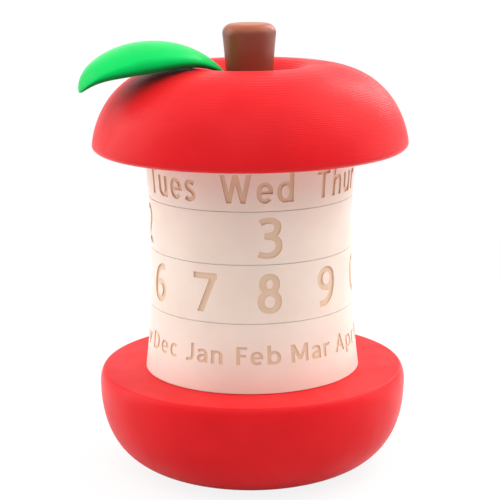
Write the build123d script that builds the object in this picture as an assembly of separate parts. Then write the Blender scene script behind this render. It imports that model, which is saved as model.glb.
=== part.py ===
"""Perpetual desk calendar shaped like an apple core, in millimetres, +Z up.

The lower half of the apple is the foot and the upper half is the lid. Between them
four dials, for the weekday, the tens, the units and the month, are stacked on one
tubular spindle, and each turns on it by hand without end. The spindle's spigots are
pushed into a socket in each half. The stalk plugs into the dimple of the upper half,
and the leaf stands beside it on a peg of its own.

The origin is the centre of the flat foot, on the table, and the spindle lies on +Z.
"""
from build123d import *
from math import asin, cos, pi, sin
import os

# --- Lower half of the apple ---
LOWER_HEIGHT = 32.8             # table to the flat top that the dials stand on
LOWER_RADIUS = 49.5             # widest
LOWER_SHOULDER_DROP = 4.7       # flat top down to the widest place
LOWER_TOP_RADIUS = 47.7         # where the flat top begins to round over
FOOT_RADIUS = 23.2              # flat disc that rests on the table
BELLY_FULLNESS = 27.0           # how far the side keeps going straight down
FOOT_FULLNESS = 7.0             # how far the foot keeps going straight out

# --- Dials, listed from the bottom ---
MONTH_HEIGHT = 21.5
UNITS_HEIGHT = 18.15
TENS_HEIGHT = 16.3
WEEKDAY_HEIGHT = 13.9
DIAL_GAP = 0.15                 # axial play over, under and between the dials
WAIST_RADIUS = 32.1             # thinnest place of the core's flank
WAIST_RISE = 39.7               # lower half's flat top up to that place
FLANK_RADIUS = 322.8            # hollow of the flank, seen from the side
DIAL_BORE_RADIUS = 24.0
DIAL_EDGE_BREAK = 0.25          # chamfer of each dial's outer edges
BORE_LEAD_IN = 0.6              # chamfer of each dial's bore

# --- Spindle and its sockets ---
RUNNING_CLEARANCE = 0.08        # radial, between spindle and dials
SPIGOT_RADIUS = 21.0
SPIGOT_LENGTH = 11.0
SPIGOT_LEAD_IN = 0.8
SPINDLE_BORE_RADIUS = 17.0
SEAT_CLEARANCE = 0.05           # radial, between each plug and its socket
SOCKET_END_GAP = 0.5            # left under the end of each plug

# --- Upper half of the apple ---
UPPER_HEIGHT = 26.75            # flat underside up to the crest
UPPER_RADIUS = 50.0             # widest
UPPER_RIM_RISE = 2.15           # underside up to the widest place
UPPER_FLAT_RADIUS = 46.2        # where the flat underside begins to round over
CREST_RADIUS = 21.5             # circle of the highest places
RIM_FULLNESS = 2.6              # how far the rim keeps going straight up
CREST_FULLNESS = 25.1           # how far the crest keeps going straight out
DIMPLE_DEPTH = 6.5
DIMPLE_FLOOR_RADIUS = 8.9
DIMPLE_LIP_FULLNESS = 6.5
DIMPLE_FLOOR_FULLNESS = 3.6

# --- Stalk ---
STALK_HEIGHT = 19.15
STALK_FOOT_RADIUS = 7.5
STALK_FLARE_RADIUS = 137.0      # hollow of its side, seen from the side
STALK_TOP_ROUNDING = 3.0
STALK_PLUG_RADIUS = 4.5
STALK_PLUG_LENGTH = 8.0

# --- Leaf ---
LEAF_ROOT_OUT = 9.9             # spindle axis to the point of the leaf's root
LEAF_ROOT_TURN = 36.4           # degrees from -X towards the front
LEAF_ROOT_RISE = 5.0            # dimple's floor up to the root
LEAF_HEADING = 18.9             # degrees from -X towards the front
LEAF_REACH = 45.9               # root to tip, seen from above
LEAF_TIP_DROP = 4.5             # tip under the root
LEAF_RISE_HANDLE = (15.6, 18.2)     # out and up from the root, how the leaf starts
LEAF_DROOP_HANDLE = (0.6, 12.0)     # out and up from the tip, how the leaf hangs over
LEAF_HALF_WIDTH = 11.0
LEAF_END_HALF_WIDTH = 0.5
LEAF_SWELL_PLACE = 1.1          # higher moves the widest place towards the tip
LEAF_SWELL_BLUNTNESS = 0.64     # lower makes both ends blunter
LEAF_THICKNESS = 5.0
LEAF_END_THICKNESS = 0.8
LEAF_BODY_PLACE = 1.09          # higher moves the thickest place towards the tip
LEAF_CUPPING = 2.5              # middle of the leaf above its two edges
LEAF_BANK = 6.0                 # degrees, front edge down
LEAF_PEG_RADIUS = 1.4
LEAF_PEG_OUT = 1.6              # along the leaf from its root
LEAF_PEG_DEPTH = 6.0            # below the dimple's floor
LEAF_PEG_RISE = 2.4             # above the dimple's floor
LEAF_NECK_SHARE = 0.09          # where the peg's neck runs into the leaf
LEAF_NECK_UNDER = 1.2           # from the leaf's upper face down to the neck's middle
LEAF_NECK_RADIUS = 0.7
LEAF_SLICES = (0, 0.04, 0.12, 0.24, 0.38, 0.52, 0.66, 0.79, 0.89, 0.96, 1)

# --- Colours of the printed plastic ---
RED = "#e5262c"
CREAM = "#f0dccb"
BROWN = "#7d352b"
GREEN = "#1ef06e"

# --- Places that follow from the sizes ---
DIALS = (
    ("month_dial", MONTH_HEIGHT),
    ("units_dial", UNITS_HEIGHT),
    ("tens_dial", TENS_HEIGHT),
    ("weekday_dial", WEEKDAY_HEIGHT),
)
STACK_HEIGHT = sum(height for name, height in DIALS) + DIAL_GAP * (len(DIALS) + 1)
UPPER_Z = LOWER_HEIGHT + STACK_HEIGHT
SPINDLE_RADIUS = DIAL_BORE_RADIUS - RUNNING_CLEARANCE
SOCKET_RADIUS = SPIGOT_RADIUS + SEAT_CLEARANCE
SOCKET_DEPTH = SPIGOT_LENGTH + SOCKET_END_GAP
DIMPLE_Z = UPPER_Z + UPPER_HEIGHT - DIMPLE_DEPTH
LEAF_TURN_RAD = LEAF_ROOT_TURN * pi / 180
LEAF_HEADING_RAD = LEAF_HEADING * pi / 180

QUARTER_PULL = 0.5523           # handle of a curve that draws a quarter of an ellipse


def turned(*edges):
    """Turn a closed outline of radius and height about the spindle's axis."""
    outline = make_face(Plane.XZ * (Curve() + list(edges)))
    return revolve(outline, Axis.Z)


def rounded(start, end, first_is_upright):
    """Quarter of an ellipse, upright at one end and level at the other."""
    run = end[0] - start[0]
    rise = end[1] - start[1]
    if first_is_upright:
        near = (start[0], start[1] + QUARTER_PULL * rise)
        far = (end[0] - QUARTER_PULL * run, end[1])
    else:
        near = (start[0] + QUARTER_PULL * run, start[1])
        far = (end[0], end[1] - QUARTER_PULL * rise)
    return Bezier(start, near, far, end)


def flank_radius(z):
    """Radius of the core's hollow flank at a height above the table."""
    drop = z - LOWER_HEIGHT - WAIST_RISE
    return WAIST_RADIUS + FLANK_RADIUS - (FLANK_RADIUS ** 2 - drop ** 2) ** 0.5


def stalk_radius(z):
    """Radius of the stalk's hollow side at a height above the dimple's floor."""
    return STALK_FOOT_RADIUS + STALK_FLARE_RADIUS - (STALK_FLARE_RADIUS ** 2 - z ** 2) ** 0.5


def lower_apple():
    """Bowl-shaped half that stands on the table, with the spindle's socket."""
    widest = (LOWER_RADIUS, LOWER_HEIGHT - LOWER_SHOULDER_DROP)
    foot = (FOOT_RADIUS, 0)
    top = (LOWER_TOP_RADIUS, LOWER_HEIGHT)
    socket_floor = LOWER_HEIGHT - SOCKET_DEPTH
    belly_pull = (LOWER_RADIUS, widest[1] - BELLY_FULLNESS)
    foot_pull = (FOOT_RADIUS + FOOT_FULLNESS, 0)
    return turned(
        Line((0, 0), foot),
        Bezier(foot, foot_pull, belly_pull, widest),
        rounded(widest, top, first_is_upright=True),
        Polyline(
            top,
            (SOCKET_RADIUS, LOWER_HEIGHT),
            (SOCKET_RADIUS, socket_floor),
            (0, socket_floor),
            (0, 0),
        ),
    )


def upper_apple():
    """Domed half with a dimple, and sockets for the spindle, the stalk and the leaf."""
    flat = (UPPER_FLAT_RADIUS, UPPER_Z)
    widest = (UPPER_RADIUS, UPPER_Z + UPPER_RIM_RISE)
    crest = (CREST_RADIUS, UPPER_Z + UPPER_HEIGHT)
    floor = (DIMPLE_FLOOR_RADIUS, DIMPLE_Z)
    socket_roof = UPPER_Z + SOCKET_DEPTH
    rim_pull = (UPPER_RADIUS, widest[1] + RIM_FULLNESS)
    crest_pull = (CREST_RADIUS + CREST_FULLNESS, crest[1])
    lip_pull = (CREST_RADIUS - DIMPLE_LIP_FULLNESS, crest[1])
    floor_pull = (DIMPLE_FLOOR_RADIUS + DIMPLE_FLOOR_FULLNESS, DIMPLE_Z)
    dome = turned(
        rounded(flat, widest, first_is_upright=False),
        Bezier(widest, rim_pull, crest_pull, crest),
        Bezier(crest, lip_pull, floor_pull, floor),
        Polyline(
            floor,
            (0, DIMPLE_Z),
            (0, socket_roof),
            (SOCKET_RADIUS, socket_roof),
            (SOCKET_RADIUS, UPPER_Z),
            flat,
        ),
    )
    stalk_hole = plug_socket((0, 0, DIMPLE_Z), STALK_PLUG_RADIUS, STALK_PLUG_LENGTH)
    leaf_hole = plug_socket(leaf_peg_mouth(), LEAF_PEG_RADIUS, LEAF_PEG_DEPTH)
    return dome - stalk_hole - leaf_hole


def plug_socket(mouth, plug_radius, plug_length):
    """Hole for a plug, open all the way up from its mouth at the dimple's floor."""
    radius = plug_radius + SEAT_CLEARANCE
    depth = plug_length + SOCKET_END_GAP
    hole = Cylinder(radius, depth + DIMPLE_DEPTH, align=(Align.CENTER, Align.CENTER, Align.MIN))
    return Pos(*mouth) * Pos(0, 0, -depth) * hole


def spindle():
    """Tube that the dials run on, with a spigot at each end that stops at its shoulder."""
    top = LOWER_HEIGHT + STACK_HEIGHT
    low_end = LOWER_HEIGHT - SPIGOT_LENGTH
    high_end = top + SPIGOT_LENGTH
    nose = SPIGOT_RADIUS - SPIGOT_LEAD_IN
    return turned(
        Polyline(
            (SPINDLE_BORE_RADIUS, low_end),
            (nose, low_end),
            (SPIGOT_RADIUS, low_end + SPIGOT_LEAD_IN),
            (SPIGOT_RADIUS, LOWER_HEIGHT),
            (SPINDLE_RADIUS, LOWER_HEIGHT),
            (SPINDLE_RADIUS, top),
            (SPIGOT_RADIUS, top),
            (SPIGOT_RADIUS, high_end - SPIGOT_LEAD_IN),
            (nose, high_end),
            (SPINDLE_BORE_RADIUS, high_end),
            (SPINDLE_BORE_RADIUS, low_end),
        )
    )


def dial(low, height):
    """Ring with the core's hollow flank outside and a running bore inside."""
    high = low + height
    flank_low = low + DIAL_EDGE_BREAK
    flank_high = high - DIAL_EDGE_BREAK
    flank_middle = (flank_low + flank_high) / 2
    flank = ThreePointArc(
        (flank_radius(flank_low), flank_low),
        (flank_radius(flank_middle), flank_middle),
        (flank_radius(flank_high), flank_high),
    )
    return turned(
        flank,
        Polyline(
            flank @ 1,
            (flank_radius(high) - DIAL_EDGE_BREAK, high),
            (DIAL_BORE_RADIUS + BORE_LEAD_IN, high),
            (DIAL_BORE_RADIUS, high - BORE_LEAD_IN),
            (DIAL_BORE_RADIUS, low + BORE_LEAD_IN),
            (DIAL_BORE_RADIUS + BORE_LEAD_IN, low),
            (flank_radius(low) - DIAL_EDGE_BREAK, low),
            flank @ 0,
        ),
    )


def stalk():
    """Flared stalk with a rounded top, and the plug that holds it in the dimple."""
    middle = STALK_HEIGHT / 2
    top_radius = stalk_radius(STALK_HEIGHT)
    side = ThreePointArc(
        (STALK_FOOT_RADIUS, DIMPLE_Z),
        (stalk_radius(middle), DIMPLE_Z + middle),
        (top_radius, DIMPLE_Z + STALK_HEIGHT),
    )
    body = turned(
        side,
        Polyline(side @ 1, (0, DIMPLE_Z + STALK_HEIGHT), (0, DIMPLE_Z), side @ 0),
    )
    top_edge = body.edges().filter_by(GeomType.CIRCLE).sort_by(Axis.Z)[-1]
    body = fillet(top_edge, STALK_TOP_ROUNDING)
    plug = Cylinder(STALK_PLUG_RADIUS, STALK_PLUG_LENGTH, align=(Align.CENTER, Align.CENTER, Align.MAX))
    return body + Pos(0, 0, DIMPLE_Z) * plug


def leaf_root():
    """Point of the leaf beside the stalk."""
    return Vector(
        -LEAF_ROOT_OUT * cos(LEAF_TURN_RAD),
        -LEAF_ROOT_OUT * sin(LEAF_TURN_RAD),
        DIMPLE_Z + LEAF_ROOT_RISE,
    )


def leaf_spine():
    """Curve along the middle of the leaf's upper face, from root to tip."""
    forward = Vector(-cos(LEAF_HEADING_RAD), -sin(LEAF_HEADING_RAD), 0)
    up = Vector(0, 0, 1)
    root = leaf_root()
    tip = root + forward * LEAF_REACH - up * LEAF_TIP_DROP
    root_handle = root + forward * LEAF_RISE_HANDLE[0] + up * LEAF_RISE_HANDLE[1]
    tip_handle = tip + forward * LEAF_DROOP_HANDLE[0] + up * LEAF_DROOP_HANDLE[1]
    return Bezier(root, root_handle, tip_handle, tip)


def leaf_peg_mouth():
    """Where the leaf's peg enters the upper half, at the height of the dimple's floor."""
    root = leaf_root()
    return (
        root.X - LEAF_PEG_OUT * cos(LEAF_HEADING_RAD),
        root.Y - LEAF_PEG_OUT * sin(LEAF_HEADING_RAD),
        DIMPLE_Z,
    )


def leaf_section(spine, share):
    """Cupped slice of the leaf with round edges, square to its spine."""
    swell = max(sin(pi * share ** LEAF_SWELL_PLACE), 0) ** LEAF_SWELL_BLUNTNESS
    half = LEAF_END_HALF_WIDTH + (LEAF_HALF_WIDTH - LEAF_END_HALF_WIDTH) * swell
    body = max(sin(pi * share ** LEAF_BODY_PLACE), 0)
    thick = LEAF_END_THICKNESS + (LEAF_THICKNESS - LEAF_END_THICKNESS) * body
    cup = LEAF_CUPPING * half / LEAF_HALF_WIDTH
    arc_radius = (half ** 2 + cup ** 2) / (2 * cup)
    arc_angle = asin(half / arc_radius)

    def on_slice(radius, angle, past=0):
        """Point at a radius and angle about the cup's centre, and past its edge."""
        x = radius * sin(angle) + past * cos(angle)
        y = radius * cos(angle) - arc_radius - past * sin(angle)
        return (x, y)

    under_radius = arc_radius - thick
    edge_radius = arc_radius - thick / 2
    near_top = on_slice(arc_radius, arc_angle)
    near_under = on_slice(under_radius, arc_angle)
    near_edge = on_slice(edge_radius, arc_angle, thick / 2)
    far_top, far_under, far_edge = ((-x, y) for x, y in (near_top, near_under, near_edge))
    outline = Curve() + [
        ThreePointArc(far_top, (0, 0), near_top),
        ThreePointArc(near_top, near_edge, near_under),
        ThreePointArc(near_under, (0, -thick), far_under),
        ThreePointArc(far_under, far_edge, far_top),
    ]
    tangent = spine % share
    across = Vector(sin(LEAF_HEADING_RAD), -cos(LEAF_HEADING_RAD), 0)
    across = across.rotate(Axis((0, 0, 0), tangent), -LEAF_BANK)
    slice_plane = Plane(origin=spine @ share, x_dir=across, z_dir=tangent)
    return slice_plane * make_face(outline)


def leaf():
    """Arched, cupped blade with a sharp root and a hanging tip, and the necked peg under it."""
    spine = leaf_spine()
    blade = loft([leaf_section(spine, share) for share in LEAF_SLICES])
    mouth = Pos(*leaf_peg_mouth())
    length = LEAF_PEG_DEPTH + LEAF_PEG_RISE
    peg = Cylinder(LEAF_PEG_RADIUS, length, align=(Align.CENTER, Align.CENTER, Align.MIN))
    # the peg narrows and leans over into the blade
    tangent = spine % LEAF_NECK_SHARE
    middle = spine @ LEAF_NECK_SHARE - Vector(0, 0, LEAF_NECK_UNDER)
    neck = loft([
        mouth * Pos(0, 0, LEAF_PEG_RISE) * Circle(LEAF_PEG_RADIUS),
        Plane(origin=middle, z_dir=tangent) * Circle(LEAF_NECK_RADIUS),
    ])
    return blade + neck + mouth * Pos(0, 0, -LEAF_PEG_DEPTH) * peg


def write(name, solid, color):
    """Write one piece to its own file."""
    solid.label = name
    solid.color = Color(color)
    export_step(solid, os.path.join("parts", name + ".step"))


def main():
    """Write every piece of the calendar."""
    os.makedirs("parts", exist_ok=True)
    write("lower_apple", lower_apple(), RED)
    write("spindle", spindle(), CREAM)
    low = LOWER_HEIGHT + DIAL_GAP
    for name, height in DIALS:
        write(name, dial(low, height), CREAM)
        low += height + DIAL_GAP
    write("upper_apple", upper_apple(), RED)
    write("stalk", stalk(), BROWN)
    write("leaf", leaf(), GREEN)


main()
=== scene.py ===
import math

import bpy
from mathutils import Euler, Matrix, Vector, geometry, kdtree


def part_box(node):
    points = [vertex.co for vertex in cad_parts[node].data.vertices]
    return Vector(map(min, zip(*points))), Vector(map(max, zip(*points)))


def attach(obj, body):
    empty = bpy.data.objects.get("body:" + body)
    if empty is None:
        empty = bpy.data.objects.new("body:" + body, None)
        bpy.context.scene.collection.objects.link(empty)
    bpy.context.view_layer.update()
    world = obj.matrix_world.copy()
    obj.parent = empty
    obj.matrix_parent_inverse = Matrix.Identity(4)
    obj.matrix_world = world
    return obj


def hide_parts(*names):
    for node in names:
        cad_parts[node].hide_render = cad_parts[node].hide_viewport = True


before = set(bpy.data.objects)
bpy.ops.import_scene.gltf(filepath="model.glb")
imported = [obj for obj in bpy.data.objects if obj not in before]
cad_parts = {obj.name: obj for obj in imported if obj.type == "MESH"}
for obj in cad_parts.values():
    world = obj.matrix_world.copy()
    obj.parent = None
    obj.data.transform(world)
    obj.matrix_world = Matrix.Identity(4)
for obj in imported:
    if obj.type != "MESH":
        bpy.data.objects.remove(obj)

bl_info = {
    "name": "Apple Core Desk Calendar",
    "version": (1, 0, 0),
    "blender": (4, 5, 0),
    "location": "View3D > Sidebar > Calendar",
    "description": "Dresses the apple calendar: halves, lettered dials, stalk, leaf and stage",
    "category": "Object",
}

MM = 0.001
MATH = "ShaderNodeMath"


# ---------------------------------------------------------------- colours and nodes


def shade(code):
    """Turns an sRGB hex colour into the linear values that a shader takes."""
    parts = [int(code[i : i + 2], 16) / 255 for i in (1, 3, 5)]
    linear = [c / 12.92 if c <= 0.04045 else ((c + 0.055) / 1.055) ** 2.4 for c in parts]
    return (*linear, 1.0)


def add(tree, kind, settings=None, inputs=None):
    """Adds one node. Settings are its properties; inputs are values, or sockets to link from.

    Numbered inputs of a Map Range are 0 the value, 1 and 2 the range it comes from, and 3 and 4
    the range it goes to. Those of a colour Mix are 0 the share, 6 and 7 the two colours.
    """
    made = tree.nodes.new(kind)
    for name, value in (settings or {}).items():
        setattr(made, name, value)
    for name, value in (inputs or {}).items():
        if isinstance(value, bpy.types.NodeSocket):
            tree.links.new(value, made.inputs[name])
        else:
            made.inputs[name].default_value = value
    return made


# ---------------------------------------------------------------- lettering
#
# The letters are drawn with strokes, one letter high = 1. Upright strokes are STEM wide and
# level ones THIN, as in a plain semi-bold type. Each stroke is a closed outline, and a letter
# is what its strokes cover together.

STEM = 0.178
THIN = 0.154
LOW = 0.735  # height of the small letters
TALL = 1.06  # height of b, d, h and l
TAIL = -0.28  # foot of p, g and y
OVER = 0.012  # how far round letters pass the line
ARC_STEP = 11  # degrees of a curved stroke between two points of its outline
FULLNESS = 0.93  # below 1, a curved stroke is a little fuller than a true oval
ARC_POINTS = 9  # points along each Bezier arc of a ribbon
DOT_CORNERS = 20
UNDER_ARM = 0.05  # how much closer a small letter stands under the arm of a T or F
ROUND_PAIR = 0.03  # how much closer two round sides stand


def bar(x0, y0, x1, y1):
    """An upright or level stroke."""
    return [(x0, y0), (x1, y0), (x1, y1), (x0, y1)]


def slant(foot, head, y0=0.0, y1=1.0, width=STEM):
    """A slanting stroke with level ends, from the middle of its foot to the middle of its head."""
    half = width / 2 * math.hypot(head - foot, y1 - y0) / abs(y1 - y0)
    return [(foot - half, y0), (foot + half, y0), (head + half, y1), (head - half, y1)]


def bow(x0, y0, x1, y1, start, end):
    """A curved stroke that fills an oval between two box corners, from one angle to another."""
    cx, cy, rx, ry = (x0 + x1) / 2, (y0 + y1) / 2, (x1 - x0) / 2, (y1 - y0) / 2
    steps = max(2, round((end - start) / ARC_STEP))
    angles = [math.radians(start + (end - start) * i / steps) for i in range(steps + 1)]

    def at(a, wide, high):
        c, s = math.cos(a), math.sin(a)
        return (
            cx + wide * math.copysign(abs(c) ** FULLNESS, c),
            cy + high * math.copysign(abs(s) ** FULLNESS, s),
        )

    outer = [at(a, rx, ry) for a in angles]
    inner = [at(a, rx - STEM, ry - THIN) for a in angles]
    return outer + inner[::-1]


def ribbon(*points):
    """A curved stroke along Bezier arcs: a point, two handles, a point, two handles and so on."""
    line = []
    for i in range(0, len(points) - 3, 3):
        a, b, c, d = (Vector((*p, 0.0)) for p in points[i : i + 4])
        line += geometry.interpolate_bezier(a, b, c, d, ARC_POINTS)[bool(line) :]
    left, right = [], []
    for i, p in enumerate(line):
        run = (line[min(i + 1, len(line) - 1)] - line[max(i - 1, 0)]).normalized()
        half = math.hypot(THIN * run.x, STEM * run.y) / 2
        left.append((p.x - run.y * half, p.y + run.x * half))
        right.append((p.x + run.y * half, p.y - run.x * half))
    return right + left[::-1]


def ring(x0, y0, x1, y1):
    """A whole oval stroke, in two halves."""
    return [bow(x0, y0, x1, y1, 0, 180), bow(x0, y0, x1, y1, 180, 360)]


def disc(cx, cy, radius):
    """A round dot."""
    turn = [math.tau * i / DOT_CORNERS for i in range(DOT_CORNERS)]
    return [(cx + radius * math.cos(a), cy + radius * math.sin(a)) for a in turn]


def letters():
    """Every letter and numeral on the dials: its width and its strokes."""
    round_top, round_foot = LOW + OVER, -OVER
    arch = (0, round_top - 0.60, 0.595, round_top)
    cup = (0, round_foot, 0.595, round_foot + 0.60)
    spring = (arch[1] + arch[3]) / 2
    sag = (cup[1] + cup[3]) / 2
    six = [
        *ring(0, -OVER, 0.62, 0.61),
        ribbon(
            (0.079, 0.300), (0.070, 0.520), (0.130, 0.720), (0.240, 0.830),
            (0.330, 0.918), (0.440, 0.944), (0.560, 0.925),
        ),
    ]
    return {
        "T": (0.66, [bar(0, 1 - THIN, 0.66, 1), bar(0.33 - STEM / 2, 0, 0.33 + STEM / 2, 1)]),
        "F": (
            0.52,
            [bar(0, 0, STEM, 1), bar(0, 1 - THIN, 0.52, 1), bar(0, 0.42, 0.47, 0.42 + THIN)],
        ),
        "W": (
            1.18,
            [slant(0.315, 0.09), slant(0.315, 0.59), slant(0.865, 0.59), slant(0.865, 1.09)],
        ),
        "M": (
            0.93,
            [
                bar(0, 0, STEM, 1), bar(0.93 - STEM, 0, 0.93, 1),
                slant(0.465, 0.10, 0.12), slant(0.465, 0.83, 0.12),
            ],
        ),
        "N": (
            0.77,
            [bar(0, 0, STEM, 1), bar(0.77 - STEM, 0, 0.77, 1), slant(0.67, 0.10, width=0.18)],
        ),
        "A": (0.80, [slant(0.085, 0.40), slant(0.715, 0.40), bar(0.19, 0.25, 0.61, 0.25 + THIN)]),
        "D": (
            0.73,
            [
                bar(0, 0, STEM, 1), bar(0, 0, 0.30, THIN), bar(0, 1 - THIN, 0.30, 1),
                bow(-0.13, 0, 0.73, 1, -90, 90),
            ],
        ),
        "O": (0.86, ring(0, -OVER, 0.86, 1 + OVER)),
        "J": (
            0.44,
            [
                ribbon(
                    (0.361, 1.0), (0.361, 0.70), (0.361, 0.50), (0.361, 0.30),
                    (0.361, 0.12), (0.25, 0.055), (0.14, 0.060), (0.08, 0.062),
                    (0.04, 0.072), (0.0, 0.085),
                )
            ],
        ),
        "S": (
            0.55,
            [
                ribbon(
                    (0.49, 0.885), (0.43, 0.925), (0.37, 0.943), (0.30, 0.943),
                    (0.17, 0.943), (0.085, 0.87), (0.085, 0.75), (0.085, 0.60),
                    (0.20, 0.555), (0.29, 0.51), (0.39, 0.465), (0.468, 0.40),
                    (0.468, 0.265), (0.468, 0.13), (0.37, 0.057), (0.23, 0.057),
                    (0.15, 0.057), (0.08, 0.075), (0.02, 0.115),
                )
            ],
        ),
        "a": (
            0.55,
            [
                ribbon(
                    (0.055, 0.60), (0.12, 0.655), (0.19, 0.678), (0.26, 0.678),
                    (0.40, 0.678), (0.471, 0.61), (0.471, 0.47), (0.471, 0.30),
                    (0.471, 0.15), (0.471, 0.0),
                ),
                ribbon(
                    (0.49, 0.41), (0.38, 0.40), (0.27, 0.395), (0.20, 0.36),
                    (0.12, 0.32), (0.079, 0.28), (0.079, 0.20), (0.079, 0.11),
                    (0.14, 0.057), (0.22, 0.057), (0.34, 0.057), (0.44, 0.13),
                    (0.475, 0.26),
                ),
            ],
        ),
        "b": (0.665, [bar(0, 0, STEM, TALL), *ring(0, round_foot, 0.665, round_top)]),
        "c": (0.49, [bow(0, round_foot, 0.60, round_top, 50, 310)]),
        "d": (0.665, [bar(0.665 - STEM, 0, 0.665, TALL), *ring(0, round_foot, 0.665, round_top)]),
        "e": (
            0.62,
            [
                bow(0, round_foot, 0.62, round_top, -8, 170),
                bow(0, round_foot, 0.62, round_top, 170, 318),
                bar(0.08, 0.318, 0.605, 0.318 + 0.115),
            ],
        ),
        "g": (
            0.64,
            [
                *ring(0, round_foot, 0.64, round_top),
                bar(0.64 - STEM, 0.02, 0.64, LOW),
                ribbon(
                    (0.561, 0.12), (0.561, 0.02), (0.561, -0.02), (0.561, -0.05),
                    (0.561, -0.19), (0.45, -0.26), (0.31, -0.26), (0.21, -0.26),
                    (0.13, -0.245), (0.06, -0.21),
                ),
            ],
        ),
        "h": (
            0.595,
            [bar(0, 0, STEM, TALL), bow(*arch, 0, 180), bar(0.595 - STEM, 0, 0.595, spring)],
        ),
        "i": (0.21, [bar(0.105 - STEM / 2, 0, 0.105 + STEM / 2, LOW), disc(0.105, 0.955, 0.105)]),
        "l": (STEM, [bar(0, 0, STEM, TALL)]),
        "n": (
            0.595,
            [bar(0, 0, STEM, LOW), bow(*arch, 0, 180), bar(0.595 - STEM, 0, 0.595, spring)],
        ),
        "o": (0.66, ring(0, round_foot, 0.66, round_top)),
        "p": (0.665, [bar(0, TAIL, STEM, LOW), *ring(0, round_foot, 0.665, round_top)]),
        "r": (0.41, [bar(0, 0, STEM, LOW), bow(0, round_top - 0.62, 0.62, round_top, 68, 180)]),
        "s": (
            0.47,
            [
                ribbon(
                    (0.42, 0.625), (0.36, 0.66), (0.31, 0.678), (0.25, 0.678),
                    (0.15, 0.678), (0.083, 0.625), (0.083, 0.545), (0.083, 0.44),
                    (0.18, 0.41), (0.25, 0.375), (0.33, 0.335), (0.396, 0.295),
                    (0.396, 0.20), (0.396, 0.105), (0.32, 0.057), (0.21, 0.057),
                    (0.14, 0.057), (0.08, 0.072), (0.02, 0.108),
                )
            ],
        ),
        "t": (
            0.42,
            [
                bar(0, LOW - 0.125, 0.40, LOW),
                ribbon(
                    (0.184, 0.93), (0.184, 0.70), (0.184, 0.45), (0.184, 0.22),
                    (0.184, 0.10), (0.24, 0.057), (0.32, 0.057), (0.36, 0.057),
                    (0.39, 0.062), (0.42, 0.072),
                ),
            ],
        ),
        "u": (
            0.595,
            [bar(0, sag, STEM, LOW), bow(*cup, 180, 360), bar(0.595 - STEM, 0, 0.595, LOW)],
        ),
        "v": (0.64, [slant(0.32, 0.085, 0, LOW), slant(0.32, 0.555, 0, LOW)]),
        "y": (
            0.64,
            [
                slant(0.335, 0.085, 0.02, LOW), slant(0.32, 0.555, 0, LOW),
                ribbon(
                    (0.335, 0.06), (0.28, -0.10), (0.25, -0.22), (0.14, -0.215),
                    (0.10, -0.215), (0.07, -0.21), (0.04, -0.20),
                ),
            ],
        ),
        "0": (0.64, ring(0, -OVER, 0.64, 1 + OVER)),
        "1": (
            0.36,
            [
                bar(0.36 - STEM, 0, 0.36, 1),
                [(0, 0.755), (0.05, 0.66), (0.30, 0.79), (0.30, 1.0), (0.22, 0.915), (0.12, 0.83)],
            ],
        ),
        "2": (
            0.60,
            [
                bar(0, 0, 0.60, THIN),
                ribbon(
                    (0.04, 0.84), (0.12, 0.905), (0.19, 0.943), (0.28, 0.943),
                    (0.42, 0.943), (0.502, 0.86), (0.502, 0.73), (0.502, 0.50),
                    (0.20, 0.36), (0.085, 0.07),
                ),
            ],
        ),
        "3": (
            0.60,
            [
                ribbon(
                    (0.055, 0.885), (0.12, 0.925), (0.19, 0.943), (0.27, 0.943),
                    (0.41, 0.943), (0.486, 0.87), (0.486, 0.765), (0.486, 0.62),
                    (0.37, 0.552), (0.16, 0.552),
                ),
                ribbon(
                    (0.16, 0.552), (0.38, 0.552), (0.521, 0.47), (0.521, 0.305),
                    (0.521, 0.15), (0.40, 0.057), (0.24, 0.057), (0.15, 0.057),
                    (0.08, 0.072), (0.01, 0.105),
                ),
            ],
        ),
        "4": (
            0.68,
            [
                bar(0.395, 0, 0.395 + STEM, 1), bar(0, 0.225, 0.68, 0.225 + THIN),
                slant(0.09, 0.445, 0.26, 1.0, 0.15),
            ],
        ),
        "5": (
            0.58,
            [
                bar(0.075, 1 - THIN, 0.52, 1), bar(0.075, 0.50, 0.075 + STEM - 0.01, 1),
                ribbon(
                    (0.09, 0.545), (0.15, 0.575), (0.20, 0.585), (0.25, 0.585),
                    (0.40, 0.585), (0.501, 0.48), (0.501, 0.325), (0.501, 0.15),
                    (0.38, 0.057), (0.22, 0.057), (0.14, 0.057), (0.07, 0.072),
                    (0.01, 0.105),
                ),
            ],
        ),
        "6": (0.62, six),
        "7": (0.66, [bar(0, 1 - THIN, 0.66, 1), slant(0.20, 0.575, 0, 1 - THIN / 2, 0.165)]),
        "8": (0.62, [*ring(0.045, 0.475, 0.575, 1 + OVER), *ring(0, -OVER, 0.62, 0.595)]),
        "9": (0.62, [[(0.62 - x, 1 - y) for x, y in outline] for outline in six]),
    }


def word_outlines(word, height, alphabet, stretch, gap):
    """The strokes of a word in metres, from its left foot, and its width.

    Stretch widens the letters, and gap is the space between them, one letter high = 1.
    """
    x, outlines = 0.0, []
    for i, letter in enumerate(word):
        width, strokes = alphabet[letter]
        outlines += [
            [((x + px * stretch) * height, py * height) for px, py in one] for one in strokes
        ]
        after = word[i + 1 : i + 2]
        close = UNDER_ARM if letter in "TF" and after and after in "aeousr" else 0.0
        close += ROUND_PAIR if letter in "eoabcpsO" and after and after in "eocdgsa" else 0.0
        x += width * stretch + (gap - close if after else 0.0)
    return outlines, x * height


def finer(outline, step):
    """The same outline with its long runs divided, so that it can bend round the dial."""
    out = []
    for (x0, y0), (x1, y1) in zip(outline, outline[1:] + outline[:1]):
        parts = max(1, math.ceil(math.hypot(x1 - x0, y1 - y0) / step))
        out += [(x0 + (x1 - x0) * i / parts, y0 + (y1 - y0) * i / parts) for i in range(parts)]
    return out


# ---------------------------------------------------------------- dials

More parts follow.
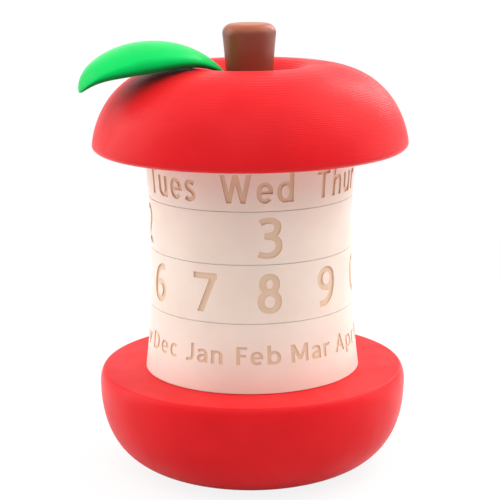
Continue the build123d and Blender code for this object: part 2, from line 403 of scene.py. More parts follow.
DIALS = {
    "month": ("Jan", "Feb", "Mar", "Apr", "May", "Jun", "Jul", "Aug", "Sep", "Oct", "Nov", "Dec"),
    "units": tuple("0123456789"),
    "tens": tuple("0123"),
    "weekday": ("Sun", "Mon", "Tues", "Wed", "Thur", "Fri", "Sat"),
}
COLUMNS = 216  # steps round a dial
ROW = 0.95 * MM  # height of a step up a dial's flank
OUTLINE_STEP = 0.8 * MM  # longest straight run in a letter's outline
CLEAR = 0.42 * MM  # no other point of the wall stands closer to a letter
SAME_POINT = 1e-8  # outlines that cross within this many metres share a point
WELD = 2e-6  # rolled up, the sheet's ends and rows meet within this many metres
FEWEST_FACES = 1000  # a lettered dial has far more


def places(words, widths, round_length, at_front, front_angle, front_pitch):
    """The angle of each word's middle, and where the sheet starts.

    The front word's two neighbours stand a front pitch from it, and the rest share what is left.
    """
    turn, count = math.tau, len(words)
    pitch = (turn - 2 * front_pitch) / (count - 2)
    front = words.index(at_front)
    middles = []
    for i in range(count):
        steps = (i - front + count // 2) % count - count // 2
        side = (steps > 0) - (steps < 0)
        middles.append(front_angle + side * front_pitch + (steps - side) * pitch)
    # the sheet's two ends meet halfway between two words, as near the back as can be
    half = [w / round_length * turn / 2 for w in widths]
    around = sorted(range(count), key=lambda i: middles[i])
    halfway = []
    for a, b in zip(around, around[1:] + around[:1]):
        lap = turn if b == around[0] else 0.0
        halfway.append((middles[a] + half[a] + middles[b] - half[b] + lap) / 2)
    seam = min(((a % turn) - turn for a in halfway), key=lambda a: abs(a + math.pi))
    return [(m - seam) % turn + seam for m in middles], seam


def unrolled_dial(name, words, foot, height, at_front, front_angle, style, sizes, low, high):
    """A dial's wall as a flat sheet, x along its girth, y into the wall and z up.

    The faces inside the letters carry the attribute cut. The end faces and the bore are further
    rows, which carry the attribute rest, so that the wrapped sheet is one closed body.
    """
    alphabet = letters()
    girth = math.tau * sizes.waist_radius

    def radius(z):
        level = math.sqrt(sizes.flank_radius**2 - (z - sizes.waist_height) ** 2)
        return sizes.waist_radius + sizes.flank_radius - level

    # letters are drawn on the dial's own radius and squeezed onto the sheet's
    true = radius(foot + height / 2)
    squeeze = sizes.waist_radius / true
    stretch, gap, front_pitch = style
    drawn = [word_outlines(w, height, alphabet, stretch, gap) for w in words]
    middles, seam = places(
        words, [width for _, width in drawn], math.tau * true, at_front, front_angle,
        math.radians(front_pitch),
    )
    start = seam * sizes.waist_radius
    edge = sizes.edge_break
    bottom, top = low + edge, high - edge
    points, faces = [], []
    for (outlines, width), middle in zip(drawn, middles):
        for outline in outlines:
            across = middle * sizes.waist_radius
            flat = [((x - width / 2) * squeeze + across, foot + y) for x, y in outline]
            fine = finer(flat, OUTLINE_STEP)
            faces.append(list(range(len(points), len(points) + len(fine))))
            points += fine
    if not all(start < x < start + girth for x, _ in points):
        raise RuntimeError(f"a letter of the {name} dial crosses the end of its sheet")
    near = kdtree.KDTree(len(points))
    for i, (x, z) in enumerate(points):
        near.insert((x, 0.0, z), i)
    near.balance()
    rows = max(2, round((top - bottom) / ROW))
    columns = [start + girth * i / COLUMNS for i in range(COLUMNS + 1)]
    levels = [bottom + (top - bottom) * j / rows for j in range(rows + 1)]
    for j, z in enumerate(levels):
        for i, x in enumerate(columns):
            on_rim = j in (0, rows) or i in (0, COLUMNS)
            if on_rim or near.find((x, 0.0, z))[2] > CLEAR:
                points.append((x, z))
    flat, _, shapes, _, _, inside = geometry.delaunay_2d_cdt(
        [Vector(p) for p in points], [], faces, 0, SAME_POINT
    )
    verts = [(p.x, 0.0, p.y) for p in flat]
    polys = [tuple(s) for s in shapes]
    cut = [bool(i) for i in inside]
    rest = [False] * len(polys)

    # the rest of the ring, row by row from the wall's foot round the bore to its head
    bore, lead = sizes.bore_radius, sizes.bore_lead_in
    profile = [
        (radius(bottom), bottom), (radius(low) - edge, low), (bore + lead, low),
        (bore, low + lead), (bore, high - lead), (bore + lead, high),
        (radius(high) - edge, high), (radius(top), top),
    ]
    base = len(verts)
    for r, z in profile:
        verts += [(x, radius(z) - r, z) for x in columns]
    wide = COLUMNS + 1
    for k in range(len(profile) - 1):
        for i in range(COLUMNS):
            a = base + k * wide + i
            polys.append((a, a + wide, a + wide + 1, a + 1))
            cut.append(False)
            rest.append(True)
    mesh = bpy.data.meshes.new(f"{name}_sheet")
    mesh.from_pydata(verts, [], polys)
    for label, values in (("cut", cut), ("rest", rest)):
        mesh.attributes.new(label, "BOOLEAN", "FACE").data.foreach_set("value", values)
    mesh.validate()
    mesh.update()
    return mesh


def wrapping_tree():
    """Geometry Nodes that sink a dial's letters and roll its sheet round the hollow flank."""
    tree = bpy.data.node_groups.new("Lettered dial", "GeometryNodeTree")
    face = tree.interface
    face.new_socket("Sheet", in_out="INPUT", socket_type="NodeSocketGeometry")
    for label in ("Waist Radius", "Waist Height", "Flank Radius", "Recess Depth"):
        socket = face.new_socket(label, in_out="INPUT", socket_type="NodeSocketFloat")
        socket.subtype = "DISTANCE"
    face.new_socket("Wall", in_out="INPUT", socket_type="NodeSocketMaterial")
    face.new_socket("Recess", in_out="INPUT", socket_type="NodeSocketMaterial")
    face.new_socket("Dial", in_out="OUTPUT", socket_type="NodeSocketGeometry")
    given = add(tree, "NodeGroupInput").outputs
    cut, rest, side = (
        add(
            tree, "GeometryNodeInputNamedAttribute", {"data_type": "BOOLEAN"}, {"Name": label}
        ).outputs["Attribute"]
        for label in ("cut", "rest", "side")
    )

    # the letters go in square to the sheet, as deep as the recess
    inward = add(tree, "ShaderNodeCombineXYZ", inputs={"Y": 1.0}).outputs[0]
    sunk = add(
        tree, "GeometryNodeExtrudeMesh", {"mode": "FACES"},
        {
            "Mesh": given["Sheet"], "Selection": cut, "Offset": inward,
            "Offset Scale": given["Recess Depth"], "Individual": False,
        },
    )
    marked = add(
        tree, "GeometryNodeStoreNamedAttribute", {"data_type": "BOOLEAN", "domain": "FACE"},
        {"Geometry": sunk.outputs["Mesh"], "Name": "side", "Value": sunk.outputs["Side"]},
    ).outputs[0]

    # flank: r(z) = waist + flank - sqrt(flank^2 - (z - waist height)^2)
    position = add(tree, "GeometryNodeInputPosition").outputs[0]
    here = add(tree, "ShaderNodeSeparateXYZ", inputs={0: position}).outputs
    up = add(
        tree, MATH, {"operation": "SUBTRACT"}, {0: here["Z"], 1: given["Waist Height"]}
    ).outputs[0]
    up2 = add(tree, MATH, {"operation": "MULTIPLY"}, {0: up, 1: up}).outputs[0]
    far2 = add(
        tree, MATH, {"operation": "MULTIPLY"}, {0: given["Flank Radius"], 1: given["Flank Radius"]}
    ).outputs[0]
    level2 = add(tree, MATH, {"operation": "SUBTRACT"}, {0: far2, 1: up2}).outputs[0]
    level = add(tree, MATH, {"operation": "SQRT"}, {0: level2}).outputs[0]
    reach = add(
        tree, MATH, {"operation": "ADD"}, {0: given["Waist Radius"], 1: given["Flank Radius"]}
    ).outputs[0]
    flank = add(tree, MATH, {"operation": "SUBTRACT"}, {0: reach, 1: level}).outputs[0]
    out = add(tree, MATH, {"operation": "SUBTRACT"}, {0: flank, 1: here["Y"]}).outputs[0]
    turn = add(
        tree, MATH, {"operation": "DIVIDE"}, {0: here["X"], 1: given["Waist Radius"]}
    ).outputs[0]
    sine = add(tree, MATH, {"operation": "SINE"}, {0: turn}).outputs[0]
    cosine = add(tree, MATH, {"operation": "COSINE"}, {0: turn}).outputs[0]
    away = add(tree, MATH, {"operation": "MULTIPLY"}, {0: cosine, 1: -1.0}).outputs[0]
    compass = add(tree, "ShaderNodeCombineXYZ", inputs={"X": sine, "Y": away}).outputs[0]
    spread = add(
        tree, "ShaderNodeVectorMath", {"operation": "SCALE"}, {0: compass, "Scale": out}
    ).outputs[0]
    lift = add(tree, "ShaderNodeCombineXYZ", inputs={"Z": here["Z"]}).outputs[0]
    rolled_place = add(
        tree, "ShaderNodeVectorMath", {"operation": "ADD"}, {0: spread, 1: lift}
    ).outputs[0]

    # which way the wall faces, worked out from the same flank before the sheet is rolled
    lean = add(tree, MATH, {"operation": "DIVIDE"}, {0: up, 1: level}).outputs[0]
    down = add(tree, MATH, {"operation": "MULTIPLY"}, {0: lean, 1: -1.0}).outputs[0]
    tilt = add(tree, "ShaderNodeCombineXYZ", inputs={"Z": down}).outputs[0]
    off = add(tree, "ShaderNodeVectorMath", {"operation": "ADD"}, {0: compass, 1: tilt}).outputs[0]
    outward = add(tree, "ShaderNodeVectorMath", {"operation": "NORMALIZE"}, {0: off}).outputs[0]
    noted = add(
        tree, "GeometryNodeStoreNamedAttribute", {"data_type": "FLOAT_VECTOR", "domain": "POINT"},
        {"Geometry": marked, "Name": "outward", "Value": outward},
    ).outputs[0]
    rolled = add(
        tree, "GeometryNodeSetPosition", inputs={"Geometry": noted, "Position": rolled_place}
    ).outputs[0]
    closed = add(
        tree, "GeometryNodeMergeByDistance", inputs={"Geometry": rolled, "Distance": WELD}
    ).outputs[0]

    # walls of the letters and the ring's edges keep their own flat facing
    kept = add(
        tree, "GeometryNodeInputNamedAttribute", {"data_type": "FLOAT_VECTOR"}, {"Name": "outward"}
    ).outputs["Attribute"]
    flat = add(
        tree, "GeometryNodeFieldOnDomain", {"data_type": "FLOAT_VECTOR", "domain": "FACE"},
        {"Value": add(tree, "GeometryNodeInputNormal").outputs[0]},
    ).outputs[0]
    flat_here = add(
        tree, "FunctionNodeBooleanMath", {"operation": "OR"}, {0: side, 1: rest}
    ).outputs[0]
    facing = add(
        tree, "GeometryNodeSwitch", {"input_type": "VECTOR"},
        {"Switch": flat_here, "False": kept, "True": flat},
    ).outputs[0]
    smooth = add(tree, "GeometryNodeSetShadeSmooth", inputs={"Geometry": closed}).outputs[0]
    shaded = add(
        tree, "GeometryNodeStoreNamedAttribute", {"data_type": "FLOAT_VECTOR", "domain": "CORNER"},
        {"Geometry": smooth, "Name": "facing", "Value": facing},
    ).outputs[0]
    whole = add(tree, "GeometryNodeRealizeInstances", inputs={"Geometry": shaded}).outputs[0]
    walled = add(
        tree, "GeometryNodeSetMaterial", inputs={"Geometry": whole, "Material": given["Wall"]}
    ).outputs[0]
    # the letters' floors and walls take the Recess material, whose colour is painted shade
    recessed = add(
        tree, "FunctionNodeBooleanMath", {"operation": "OR"}, {0: side, 1: cut}
    ).outputs[0]
    done = add(
        tree, "GeometryNodeSetMaterial",
        inputs={"Geometry": walled, "Selection": recessed, "Material": given["Recess"]},
    ).outputs[0]
    add(tree, "NodeGroupOutput", inputs={0: done})
    return tree


# ---------------------------------------------------------------- printed plastics

PLA_IOR = 1.46
PATCH_SIZE = 12.5 * MM  # stretches of smoother and rougher skin
DRIFT_LAYERS = 2.2  # layers over which the beads wander in and out
DRIFT_RELIEF = 1.2  # how far they wander, beside the height of a bead
SCATTER_REACH = 1.5 * MM  # how far light spreads inside pale plastic


def printed_pla(
    name, colour, deep, roughness, mirror, layer_pitch, ridge,
    scatter=0.0, bloom=0.0, painted_highlight=None, underside=None,
):
    """Polylactide laid down in level beads: one colour right through, with fine level ridges.

    The eye sees a satin skin whose gloss breaks up along the ridges, and a shade that drifts a
    little where the beads cooled differently. Mirror is how much of the face-on gloss the ridges
    leave, scatter how much light goes in and comes back beside it, and bloom the pale cast of the
    ridges where the skin turns away. The painted highlight is a paler colour painted on the top
    layers, with the two heights between which it comes in. The underside colour is painted shade:
    a duller colour painted on skin that faces down.
    """
    material = bpy.data.materials.new(name)
    material.use_nodes = True
    tree = material.node_tree
    tree.nodes.clear()
    place = add(tree, "ShaderNodeTexCoord").outputs
    where = place["Object"]
    height = add(tree, "ShaderNodeSeparateXYZ", inputs={0: where}).outputs["Z"]
    faces_up = add(tree, "ShaderNodeSeparateXYZ", inputs={0: place["Normal"]}).outputs["Z"]

    # beads: one full wave for each layer
    phase = add(
        tree, MATH, {"operation": "MULTIPLY"}, {0: height, 1: math.tau / layer_pitch}
    ).outputs[0]
    bead = add(tree, MATH, {"operation": "SINE"}, {0: phase}).outputs[0]
    # some stretches of the skin are smoother than others
    patch = add(
        tree, "ShaderNodeTexNoise",
        inputs={"Vector": where, "Scale": 1.0 / PATCH_SIZE, "Detail": 2.0},
    ).outputs["Fac"]
    # each layer lies a little in or out of the one below it
    stack = add(tree, "ShaderNodeCombineXYZ", inputs={"Z": height}).outputs[0]
    drift = add(
        tree, "ShaderNodeTexNoise",
        inputs={"Vector": stack, "Scale": 1.0 / (DRIFT_LAYERS * layer_pitch), "Detail": 1.0},
    ).outputs["Fac"]
    strength = add(
        tree, "ShaderNodeMapRange", inputs={0: patch, 1: 0.35, 2: 0.65, 3: 0.35, 4: 1.0}
    ).outputs[0]
    # the layers show as steps where the skin lies flatter
    flatness = add(
        tree, "ShaderNodeMapRange", inputs={0: faces_up, 1: 0.15, 2: 0.7, 3: 0.35, 4: 1.0}
    ).outputs[0]
    shown = add(tree, MATH, {"operation": "MULTIPLY"}, {0: strength, 1: flatness}).outputs[0]
    waves = add(tree, MATH, {"operation": "MULTIPLY"}, {0: bead, 1: shown}).outputs[0]
    layered = add(tree, MATH, {"operation": "MULTIPLY"}, {0: drift, 1: flatness}).outputs[0]
    relief = add(
        tree, MATH, {"operation": "MULTIPLY_ADD"}, {0: layered, 1: DRIFT_RELIEF, 2: waves}
    ).outputs[0]
    ridges = add(
        tree, "ShaderNodeBump", inputs={"Strength": 1.0, "Distance": ridge, "Height": relief}
    ).outputs[0]

    # the shade and the gloss follow the same stretches of skin
    share = add(
        tree, "ShaderNodeMapRange", inputs={0: patch, 1: 0.3, 2: 0.7, 3: 0.0, 4: 1.0}
    ).outputs[0]
    tone = add(
        tree, "ShaderNodeMix", {"data_type": "RGBA"}, {0: share, 6: deep, 7: colour}
    ).outputs[2]
    # painted highlight: a paler colour painted over the top layers, between two heights, where the
    # light above catches them
    if painted_highlight:
        pale, low, high = painted_highlight
        painted_highlight_share = add(
            tree, "ShaderNodeMapRange", inputs={0: height, 1: low, 2: high}
        ).outputs[0]
        tone = add(
            tree, "ShaderNodeMix", {"data_type": "RGBA"}, {0: painted_highlight_share, 6: tone, 7: pale}
        ).outputs[2]
    # painted shade: a duller colour painted where the skin faces down, away from the light
    if underside:
        painted_shade_share = add(
            tree, "ShaderNodeMapRange", inputs={0: faces_up, 1: 0.0, 2: -0.6}
        ).outputs[0]
        tone = add(
            tree, "ShaderNodeMix", {"data_type": "RGBA"}, {0: painted_shade_share, 6: tone, 7: underside}
        ).outputs[2]
    gloss = add(
        tree, "ShaderNodeMapRange",
        inputs={0: patch, 1: 0.3, 2: 0.7, 3: roughness + 0.05, 4: roughness - 0.04},
    ).outputs[0]
    shader = add(
        tree, "ShaderNodeBsdfPrincipled",
        inputs={
            "Base Color": tone, "Roughness": gloss, "IOR": PLA_IOR,
            "Specular IOR Level": mirror, "Normal": ridges, "Subsurface Weight": scatter,
            "Subsurface Radius": (1.0, 0.6, 0.4), "Subsurface Scale": SCATTER_REACH,
            "Sheen Weight": bloom, "Sheen Roughness": 0.3,
        },
    )
    add(tree, "ShaderNodeOutputMaterial", inputs={"Surface": shader.outputs[0]})
    return material


def dress(node, material):
    """Gives a carried-over CAD node its finish."""
    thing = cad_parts[node]
    thing.data.materials.clear()
    thing.data.materials.append(material)


# ---------------------------------------------------------------- settings


def colour_setting(name, description, code):
    return bpy.props.FloatVectorProperty(
        name=name, description=description, subtype="COLOR", size=4, min=0.0, max=1.0,
        default=shade(code),
    )


def length_setting(name, description, value):
    return bpy.props.FloatProperty(
        name=name, description=description, unit="LENGTH", subtype="DISTANCE", default=value * MM,
        precision=5,
    )


def angle_setting(name, description, degrees):
    return bpy.props.FloatProperty(
        name=name, description=description, unit="ROTATION", subtype="ANGLE",
        default=math.radians(degrees),
    )


class CalendarDialSettings(bpy.types.PropertyGroup):
    waist_radius: length_setting("Waist Radius", "Radius of the core where it is slimmest", 32.1)
    waist_height: length_setting("Waist Height", "Height of the slimmest place", 72.5)
    flank_radius: length_setting("Flank Radius", "Radius of the hollow that the dials share", 322.8)
    bore_radius: length_setting("Bore Radius", "Radius of the bore that turns on the spindle", 24.0)
    bore_lead_in: length_setting("Bore Lead-in", "Slope at each end of the bore", 0.6)
    edge_break: length_setting("Edge Break", "Slope at the rims of a dial", 0.04)
    recess_depth: length_setting("Recess Depth", "How deep the letters are sunk", 0.5)
    month_letters: length_setting("Month Letters", "Height of the months' capitals", 5.6)
    units_numerals: length_setting("Units Numerals", "Height of the numerals 0 to 9", 12.2)
    tens_numerals: length_setting("Tens Numerals", "Height of the numerals 0 to 3", 12.3)
    weekday_letters: length_setting("Weekday Letters", "Height of the weekdays' capitals", 8.7)
    month_angle: angle_setting("Month Angle", "Where Feb stands, right of the front", 3.5)
    units_angle: angle_setting("Units Angle", "Where the 8 stands, right of the front", 9.8)
    tens_angle: angle_setting("Tens Angle", "Where the 3 stands, right of the front", 10.3)
    weekday_angle: angle_setting("Weekday Angle", "Where Wed stands, right of the front", 3.55)


class CalendarPrintSettings(bpy.types.PropertyGroup):
    red: colour_setting("Red", "Skin of the apple halves", "#e61e24")
    red_deep: colour_setting("Deep Red", "Where the red beads lie closer", "#df1a20")
    cream: colour_setting("Cream", "Flesh of the dials", "#f8e6d9")
    cream_deep: colour_setting("Deep Cream", "Where the cream beads lie closer", "#f3e0d2")
    # painted shade: the cream painted darker and warmer inside the sunken letters, standing in for
    # the shade and warm bounce light there
    recess_painted_shade: colour_setting("Recess", "Inside the sunken letters", "#e9ccb1")
    brown: colour_setting("Brown", "Bark of the stalk", "#864632")
    brown_deep: colour_setting("Deep Brown", "Darker beads of the stalk", "#7b3c29")
    # painted highlight: a paler brown painted on the stalk's top, where the light above catches it
    brown_painted_highlight: colour_setting("Pale Brown", "Painted highlight on top of the stalk", "#ae5a36")
    green: colour_setting("Green", "Skin of the leaf", "#04d462")
    green_deep: colour_setting("Deep Green", "Darker beads of the leaf", "#04c95b")
    # painted shade: a duller green painted where the leaf faces down, standing in for the shade it
    # lies in
    green_painted_shade: colour_setting("Dull Green", "Leaf's underside, painted shade", "#038a3c")
    layer_pitch: length_setting(
        "Layer Pitch", "Height of a printed layer, coarser than the real 0.2 mm so that it shows",
        0.6,
    )


class CalendarStageSettings(bpy.types.PropertyGroup):
    distance: length_setting("Camera Distance", "From the spindle's axis to the camera", 483.67)
    height: length_setting("Camera Height", "How high the camera stands", 179.84)
    pitch: angle_setting("Camera Pitch", "How far the camera looks down", 12.786)
    roll: angle_setting("Camera Roll", "Slight turn about the camera's line of sight", -0.529)
    lens: bpy.props.FloatProperty(
        name="Lens", description="Focal length on a 36 mm sensor", default=110.85, min=20.0
    )
    shift_x: bpy.props.FloatProperty(
        name="Shift X", description="Sideways shift of the frame, in frame widths", default=-0.0024
    )
    shift_y: bpy.props.FloatProperty(
        name="Shift Y", description="Upward shift of the frame, in frame widths", default=0.0016
    )
    overhead: bpy.props.FloatProperty(
        name="Overhead", description="Strength of the soft light above", default=1.2, min=0.0
    )
    behind: bpy.props.FloatProperty(
        name="Behind", description="Strength of the soft light from behind", default=0.32, min=0.0
    )
    lamps: bpy.props.FloatProperty(
        name="Lamps", description="Share of the soft boxes' usual strength", default=1.0, min=0.0
    )


class CalendarSettings(bpy.types.PropertyGroup):
    dials: bpy.props.PointerProperty(type=CalendarDialSettings)
    prints: bpy.props.PointerProperty(type=CalendarPrintSettings)
    stage: bpy.props.PointerProperty(type=CalendarStageSettings)


# ---------------------------------------------------------------- operators


class CALENDAR_OT_apple_halves(bpy.types.Operator):
    """Gives the lower and upper halves of the apple their red printed skin"""

    bl_idname = "calendar.apple_halves"
    bl_label = "Apple Halves"

    def execute(self, context):
        prints = context.scene.calendar.prints
        # red PLA, printed: a strong even red, satin, with level lines round the shoulders
        skin = printed_pla(
            "PLA, printed, red", prints.red, prints.red_deep, 0.42, 0.13, prints.layer_pitch,
            0.026 * MM, bloom=0.06,
        )
        dress("lower_apple", skin)
        dress("upper_apple", skin)
        return {"FINISHED"}


class CALENDAR_OT_dials(bpy.types.Operator):
    """Makes the four dials with their sunken words and numerals"""

    bl_idname = "calendar.dials"
    bl_label = "Lettered Dials"

    def execute(self, context):
        sizes, prints = context.scene.calendar.dials, context.scene.calendar.prints
        # natural cream PLA, printed: a warm white that lets some light in
        flesh = printed_pla(
            "PLA, printed, cream", prints.cream, prints.cream_deep, 0.38, 0.12, prints.layer_pitch,
            0.006 * MM, scatter=0.3,
        )
        # the same plastic inside the letters, with painted shade: a darker, warmer cream painted
        # there in place of the weaker, warmer light that comes back out of them
        hollow = printed_pla(
            "PLA, printed, cream, painted shade in the letters", prints.recess_painted_shade, prints.recess_painted_shade, 0.5, 0.12,
            prints.layer_pitch, 0.004 * MM,
        )
        # each dial: the foot of its letters in mm and their height, the word at the front and its
        # angle, the letters' stretch and gap with the degrees between the front words, and how
        # deep they go as a share of the recess, less for the small ones
        rows = (
            (
                "month", 41.85, sizes.month_letters, "Feb", sizes.month_angle,
                (1.14, 0.22, 30.0), 0.6,
            ),
            ("units", 57.75, sizes.units_numerals, "8", sizes.units_angle, (1.0, 0.1, 36.0), 0.9),
            ("tens", 74.95, sizes.tens_numerals, "3", sizes.tens_angle, (1.0, 0.1, 90.0), 1.0),
            (
                "weekday", 91.95, sizes.weekday_letters, "Wed", sizes.weekday_angle,
                (0.92, 0.18, 53.9), 1.0,
            ),
        )
        tree = wrapping_tree()
        inputs = {
            "Waist Radius": sizes.waist_radius, "Waist Height": sizes.waist_height,
            "Flank Radius": sizes.flank_radius, "Wall": flesh, "Recess": hollow,
        }
        sockets = {
            item.name: item.identifier
            for item in tree.interface.items_tree
            if item.in_out == "INPUT"
        }
        for name, foot, height, at_front, angle, style, share in rows:
            low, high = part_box(f"{name}_dial")
            sheet = unrolled_dial(
                name, DIALS[name], foot * MM, height, at_front, angle, style, sizes, low[2], high[2]
            )
            piece = bpy.data.objects.new(f"{name}_lettered_dial", sheet)
            context.scene.collection.objects.link(piece)
            wrap = piece.modifiers.new("Wrap", "NODES")
            wrap.node_group = tree
            for label, value in inputs.items():
                wrap[sockets[label]] = value
            wrap[sockets["Recess Depth"]] = sizes.recess_depth * share
            context.view_layer.update()
            graph = context.evaluated_depsgraph_get()
            mesh = bpy.data.meshes.new_from_object(
                piece.evaluated_get(graph), preserve_all_data_layers=True, depsgraph=graph
            )
            facing = [0.0] * (3 * len(mesh.loops))
            mesh.attributes["facing"].data.foreach_get("vector", facing)
            for label in ("cut", "rest", "side", "outward", "facing"):
                mesh.attributes.remove(mesh.attributes[label])
            mesh.normals_split_custom_set([facing[i : i + 3] for i in range(0, len(facing), 3)])
            piece.modifiers.remove(wrap)
            piece.data = mesh
            if len(mesh.polygons) < FEWEST_FACES:
                raise RuntimeError(f"the {name} dial came out empty")
            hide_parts(f"{name}_dial")
            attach(piece, name)
        return {"FINISHED"}


class CALENDAR_OT_spindle(bpy.types.Operator):
    """Gives the hidden spindle its cream printed finish"""

    bl_idname = "calendar.spindle"
    bl_label = "Spindle"

    def execute(self, context):
        prints = context.scene.calendar.prints
        # cream PLA, printed: the tube inside the dials, plainer because it is hidden
        dress(
            "spindle",
            printed_pla(
                "PLA, printed, cream, spindle", prints.cream_deep, prints.cream, 0.4, 0.12,
                prints.layer_pitch, 0.01 * MM,
            ),
        )
        return {"FINISHED"}


class CALENDAR_OT_stalk(bpy.types.Operator):
    """Gives the stalk its brown printed finish"""

    bl_idname = "calendar.stalk"
    bl_label = "Stalk"

    def execute(self, context):
        prints = context.scene.calendar.prints
        # brown PLA, printed: dark and satin, with a painted highlight, a paler brown painted on its
        # top where the light above catches it
        painted_highlight = (prints.brown_painted_highlight, 140.2 * MM, 142.5 * MM)
        dress(
            "stalk",
            printed_pla(
                "PLA, printed, brown, painted highlight on top", prints.brown, prints.brown_deep, 0.32, 0.35,
                prints.layer_pitch, 0.012 * MM, painted_highlight=painted_highlight,
            ),
        )
        return {"FINISHED"}


class CALENDAR_OT_leaf(bpy.types.Operator):
    """Gives the leaf its bright green printed finish"""

    bl_idname = "calendar.leaf"
    bl_label = "Leaf"

    def execute(self, context):
        prints = context.scene.calendar.prints
        # green PLA, printed: bright, with a mint sheen where it turns away from the eye, and
        # painted
        # shade: a duller green painted where it faces down
        dress(
            "leaf",
            printed_pla(
                "PLA, printed, green, painted shade below", prints.green, prints.green_deep, 0.3, 0.06,
                prints.layer_pitch, 0.01 * MM, bloom=0.2, underside=prints.green_painted_shade,
            ),
        )
        return {"FINISHED"}


def soft_box(name, width, height, place, aim, watts):
    """A rectangular lamp that faces a point."""
    lamp = bpy.data.lights.new(name, "AREA")
    lamp.shape = "RECTANGLE"
    lamp.size, lamp.size_y = width, height
    lamp.energy = watts
    holder = bpy.data.objects.new(name, lamp)
    holder.location = place
    holder.rotation_euler = (Vector(aim) - Vector(place)).to_track_quat("-Z", "Y").to_euler()
    bpy.context.scene.collection.objects.link(holder)


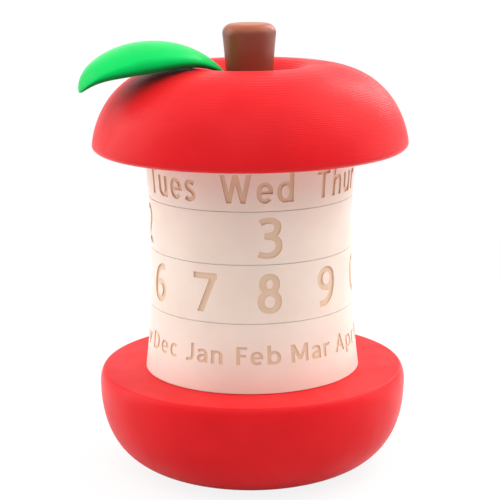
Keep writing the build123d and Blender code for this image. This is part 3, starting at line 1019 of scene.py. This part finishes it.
class CALENDAR_OT_stage(bpy.types.Operator):
    """Sets the floor, the soft lamps, the white surround and the camera"""

    bl_idname = "calendar.stage"
    bl_label = "Stage"

    def execute(self, context):
        scene, stage = context.scene, context.scene.calendar.stage
        scene.view_settings.view_transform = "Standard"
        plain_white = (1.0, 1.0, 1.0, 1.0)

        # world: soft light that grows overhead and behind, and plain white where the camera looks
        # past the object or gloss mirrors what is round it
        world = bpy.data.worlds.new("White surround")
        scene.world = world
        world.use_nodes = True
        tree = world.node_tree
        tree.nodes.clear()
        ray = add(tree, "ShaderNodeLightPath").outputs
        glossy = add(
            tree, MATH, {"operation": "MAXIMUM"},
            {0: ray["Is Glossy Ray"], 1: ray["Is Transmission Ray"]},
        ).outputs[0]
        seen = add(
            tree, MATH, {"operation": "MAXIMUM"}, {0: ray["Is Camera Ray"], 1: glossy}
        ).outputs[0]
        way = add(tree, "ShaderNodeTexCoord").outputs["Generated"]
        toward = add(tree, "ShaderNodeSeparateXYZ", inputs={0: way}).outputs
        up = add(tree, MATH, {"operation": "MAXIMUM"}, {0: toward["Z"], 1: 0.0}).outputs[0]
        back = add(tree, MATH, {"operation": "MAXIMUM"}, {0: toward["Y"], 1: 0.0}).outputs[0]
        from_back = add(
            tree, MATH, {"operation": "MULTIPLY"}, {0: back, 1: stage.behind}
        ).outputs[0]
        strength = add(
            tree, MATH, {"operation": "MULTIPLY_ADD"},
            {0: up, 1: stage.overhead, 2: from_back},
        ).outputs[0]
        surround = add(
            tree, "ShaderNodeBackground", inputs={"Color": plain_white, "Strength": strength}
        ).outputs[0]
        white = add(
            tree, "ShaderNodeBackground", inputs={"Color": plain_white, "Strength": 1.0}
        ).outputs[0]
        both = add(tree, "ShaderNodeMixShader", inputs={0: seen, 1: surround, 2: white}).outputs[0]
        add(tree, "ShaderNodeOutputWorld", inputs={"Surface": both})

        # floor: matt paper that fades to plain white away from the object for the camera, with a
        # faint shadow by the foot; gloss mirrors it as it is, and it throws less light back
        near, away, least_glow = 0.05, 0.35, 0.86
        paper = bpy.data.materials.new("Paper, matt, white")
        paper.use_nodes = True
        tree = paper.node_tree
        tree.nodes.clear()
        ray = add(tree, "ShaderNodeLightPath").outputs
        glossy = add(
            tree, MATH, {"operation": "MAXIMUM"},
            {0: ray["Is Glossy Ray"], 1: ray["Is Transmission Ray"]},
        ).outputs[0]
        here = add(tree, "ShaderNodeTexCoord").outputs["Object"]
        far = add(tree, "ShaderNodeVectorMath", {"operation": "LENGTH"}, {0: here}).outputs["Value"]
        fade = add(
            tree, "ShaderNodeMapRange", {"interpolation_type": "SMOOTHSTEP"},
            {0: far, 1: near, 2: away, 3: least_glow, 4: 1.0},
        ).outputs[0]
        matt = add(tree, "ShaderNodeBsdfDiffuse", inputs={"Color": shade("#cbcbcb")}).outputs[0]
        bright = add(
            tree, "ShaderNodeBsdfDiffuse", inputs={"Color": shade("#fbfbfb")}
        ).outputs[0]
        glow = add(
            tree, "ShaderNodeEmission", inputs={"Color": plain_white, "Strength": 1.0}
        ).outputs[0]
        seen = add(tree, "ShaderNodeMixShader", inputs={0: fade, 1: bright, 2: glow}).outputs[0]
        thrown = add(
            tree, "ShaderNodeMixShader", inputs={0: glossy, 1: matt, 2: bright}
        ).outputs[0]
        whole = add(
            tree, "ShaderNodeMixShader", inputs={0: ray["Is Camera Ray"], 1: thrown, 2: seen}
        ).outputs[0]
        add(tree, "ShaderNodeOutputMaterial", inputs={"Surface": whole})
        sheet = bpy.data.meshes.new("paper_floor")
        half = 1.6
        corners = [(-half, -half, 0), (half, -half, 0), (half, half, 0), (-half, half, 0)]
        sheet.from_pydata(corners, [], [(0, 1, 2, 3)])
        sheet.materials.append(paper)
        floor = bpy.data.objects.new("paper_floor", sheet)
        scene.collection.objects.link(floor)

        # lamps: width and height, place and watts, all aimed at the middle of the dials
        middle = (0.0, 0.0, 0.075)
        for name, width, height, place, watts in (
            ("left_box", 0.5, 0.6, (-0.65, 0.10, 0.28), 2.5),
            ("right_box", 0.5, 0.6, (0.65, 0.10, 0.28), 1.6),
            ("right_back_strip", 0.25, 0.5, (0.42, 0.55, 0.50), 1.8),
            ("top_front_box", 0.6, 0.5, (0.0, -0.45, 0.60), 0.95),
            ("top_right_box", 0.5, 0.5, (0.42, 0.0, 0.60), 1.7),
            ("top_left_box", 0.5, 0.5, (-0.42, 0.0, 0.60), 0.6),
        ):
            soft_box(name, width, height, place, middle, watts * stage.lamps)

        lens = bpy.data.cameras.new("camera")
        lens.lens, lens.sensor_width = stage.lens, 36.0
        lens.shift_x, lens.shift_y = stage.shift_x, stage.shift_y
        lens.clip_start, lens.clip_end = 0.02, 20.0
        camera = bpy.data.objects.new("camera", lens)
        look = Euler((math.pi / 2 - stage.pitch, 0.0, 0.0)).to_matrix()
        camera.matrix_world = (
            Matrix.Translation((0.0, -stage.distance, stage.height))
            @ (look @ Matrix.Rotation(stage.roll, 3, "Z")).to_4x4()
        )
        scene.collection.objects.link(camera)
        scene.camera = camera
        return {"FINISHED"}


class CALENDAR_PT_panel(bpy.types.Panel):
    """Lists the calendar's pieces and their settings"""

    bl_idname = "CALENDAR_PT_panel"
    bl_label = "Apple Core Calendar"
    bl_space_type = "VIEW_3D"
    bl_region_type = "UI"
    bl_category = "Calendar"

    def draw(self, context):
        settings = context.scene.calendar
        for operator in STEPS:
            self.layout.operator(operator.bl_idname)
        for group in (settings.dials, settings.prints, settings.stage):
            box = self.layout.box()
            for name in group.__annotations__:
                box.prop(group, name)


STEPS = (
    CALENDAR_OT_apple_halves,
    CALENDAR_OT_dials,
    CALENDAR_OT_spindle,
    CALENDAR_OT_stalk,
    CALENDAR_OT_leaf,
    CALENDAR_OT_stage,
)
CLASSES = (
    CalendarDialSettings,
    CalendarPrintSettings,
    CalendarStageSettings,
    CalendarSettings,
    *STEPS,
    CALENDAR_PT_panel,
)


def register():
    for cls in CLASSES:
        bpy.utils.register_class(cls)
    bpy.types.Scene.calendar = bpy.props.PointerProperty(type=CalendarSettings)


def unregister():
    del bpy.types.Scene.calendar
    for cls in reversed(CLASSES):
        bpy.utils.unregister_class(cls)


def main():
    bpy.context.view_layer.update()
    register()
    bpy.ops.calendar.apple_halves()
    bpy.ops.calendar.dials()
    bpy.ops.calendar.spindle()
    bpy.ops.calendar.stalk()
    bpy.ops.calendar.leaf()
    bpy.ops.calendar.stage()


if __name__ == "__main__":
    main()
